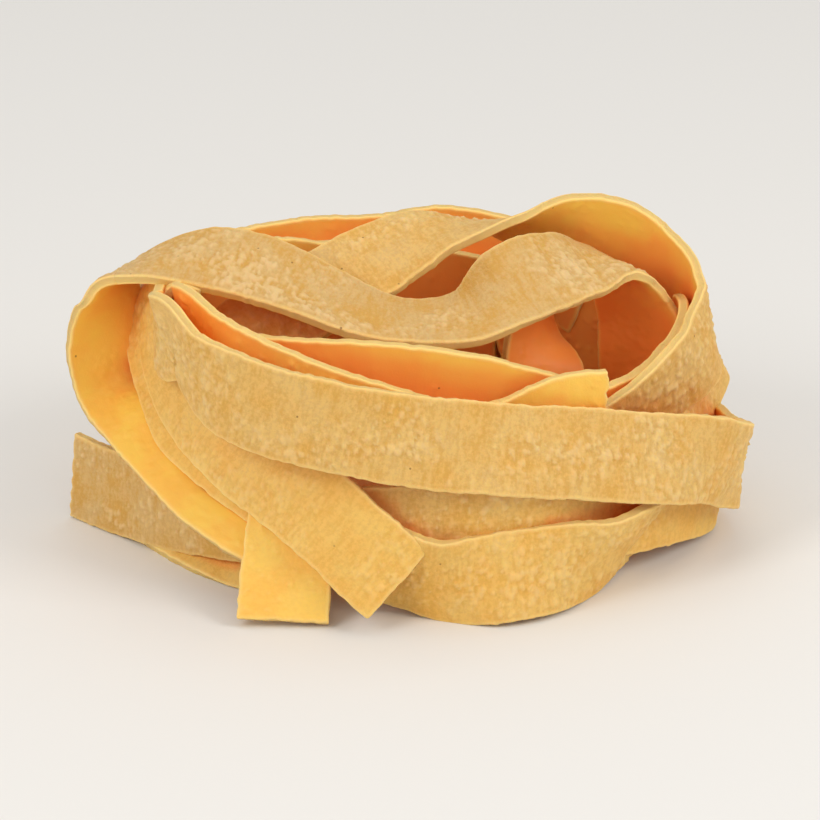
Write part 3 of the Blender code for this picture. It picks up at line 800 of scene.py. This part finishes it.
class NEST_OT_front_ribbons(NestOperator, bpy.types.Operator):
    """Add the bands across the front and the strips inside them"""
    bl_idname = "nest.front_ribbons"
    bl_label = "Front Ribbons"

    def execute(self, context):
        for name in FRONT_RIBBONS:
            wind_ribbon(name)
        return {"FINISHED"}


class NEST_OT_hanging_ribbons(NestOperator, bpy.types.Operator):
    """Add the ribbons whose cut ends hang in front"""
    bl_idname = "nest.hanging_ribbons"
    bl_label = "Hanging Ribbons"

    def execute(self, context):
        for name in HANGING_RIBBONS:
            wind_ribbon(name)
        return {"FINISHED"}


class NEST_OT_base_ribbons(NestOperator, bpy.types.Operator):
    """Add the low ribbons that the nest stands on"""
    bl_idname = "nest.base_ribbons"
    bl_label = "Base Ribbons"

    def execute(self, context):
        for name in BASE_RIBBONS:
            wind_ribbon(name)
        return {"FINISHED"}


def soft_light(name, place, aim, size, power, colour):
    """A square soft light at place, turned to aim."""
    lamp = bpy.data.lights.new(name, "AREA")
    lamp.shape = "RECTANGLE"
    lamp.size, lamp.size_y = size
    lamp.energy = power
    lamp.color = colour
    light = bpy.data.objects.new(name, lamp)
    light.matrix_world = looking(place, aim)
    bpy.context.scene.collection.objects.link(light)


def looking(place, aim):
    """Placement at place with the view axis towards aim and no roll."""
    towards = (Vector(aim) - Vector(place)).normalized()
    turned = towards.to_track_quat("-Z", "Y").to_matrix().to_4x4()
    return Matrix.Translation(Vector(place)) @ turned


class NEST_OT_stage(NestOperator, bpy.types.Operator):
    """Add the floor, the soft lights and the camera"""
    bl_idname = "nest.stage"
    bl_label = "Stage"

    def execute(self, context):
        settings = context.scene.nest_stage
        deselect_all()
        bpy.ops.mesh.primitive_plane_add(size=FLOOR_SIZE)
        floor = context.object
        floor.name = "pale_floor"
        floor.data.materials.append(floor_finish())

        middle = MM * (MIDDLE + SHIFT)
        camera_data = bpy.data.cameras.new("camera")
        camera_data.sensor_width = 36.0
        camera_data.lens = camera_data.sensor_width * EYE_DISTANCE * MM / settings.view_width
        camera_data.clip_start = 0.05
        camera = bpy.data.objects.new("camera", camera_data)
        camera.matrix_world = looking(MM * (EYE + SHIFT), middle)
        context.scene.collection.objects.link(camera)
        context.scene.camera = camera

        soft_light("key", (-0.38, -0.32, 0.38), middle, (0.22, 0.26), settings.key_power, (1.0, 0.97, 0.93))
        soft_light("fill", (0.42, -0.20, 0.36), middle, (0.22, 0.26), settings.fill_power, (1.0, 0.98, 0.95))
        soft_light("top", (-0.05, 0.12, 0.55), middle, (0.40, 0.30), settings.top_power, (1.0, 1.0, 1.0))
        world = bpy.data.worlds.new("soft_air")
        world.use_nodes = True
        world.node_tree.nodes["Background"].inputs["Color"].default_value = (1.0, 0.98, 0.95, 1.0)
        world.node_tree.nodes["Background"].inputs["Strength"].default_value = settings.air
        context.scene.world = world
        context.scene.view_settings.view_transform = "Standard"
        return {"FINISHED"}


class NEST_PT_panel(bpy.types.Panel):
    """Pasta nest tools"""
    bl_idname = "NEST_PT_panel"
    bl_label = "Pasta Nest"
    bl_space_type = "VIEW_3D"
    bl_region_type = "UI"
    bl_category = "Pasta Nest"

    def draw(self, context):
        for group in (context.scene.nest_ribbons, context.scene.nest_dough, context.scene.nest_stage):
            for name in group.bl_rna.properties.keys():
                if name not in ("name", "rna_type"):
                    self.layout.prop(group, name)
        for operator in OPERATORS:
            self.layout.operator(operator.bl_idname)


SETTINGS = {
    "nest_ribbons": NestRibbonSettings, "nest_dough": NestDoughSettings, "nest_stage": NestStageSettings,
}
OPERATORS = (NEST_OT_stage, NEST_OT_top_ribbons, NEST_OT_front_ribbons, NEST_OT_hanging_ribbons,
             NEST_OT_base_ribbons)


def register():
    """Adds the classes and the scene's settings."""
    for each in (*SETTINGS.values(), *OPERATORS, NEST_PT_panel):
        bpy.utils.register_class(each)
    for name, group in SETTINGS.items():
        setattr(bpy.types.Scene, name, bpy.props.PointerProperty(type=group))


def unregister():
    """Takes the settings and the classes out again."""
    for name in SETTINGS:
        delattr(bpy.types.Scene, name)
    for each in (NEST_PT_panel, *reversed(OPERATORS), *reversed(SETTINGS.values())):
        bpy.utils.unregister_class(each)


def main():
    """Builds the stage and every ribbon."""
    register()
    bpy.ops.nest.stage()
    bpy.ops.nest.top_ribbons()
    bpy.ops.nest.front_ribbons()
    bpy.ops.nest.hanging_ribbons()
    bpy.ops.nest.base_ribbons()


if __name__ == "__main__":
    main()
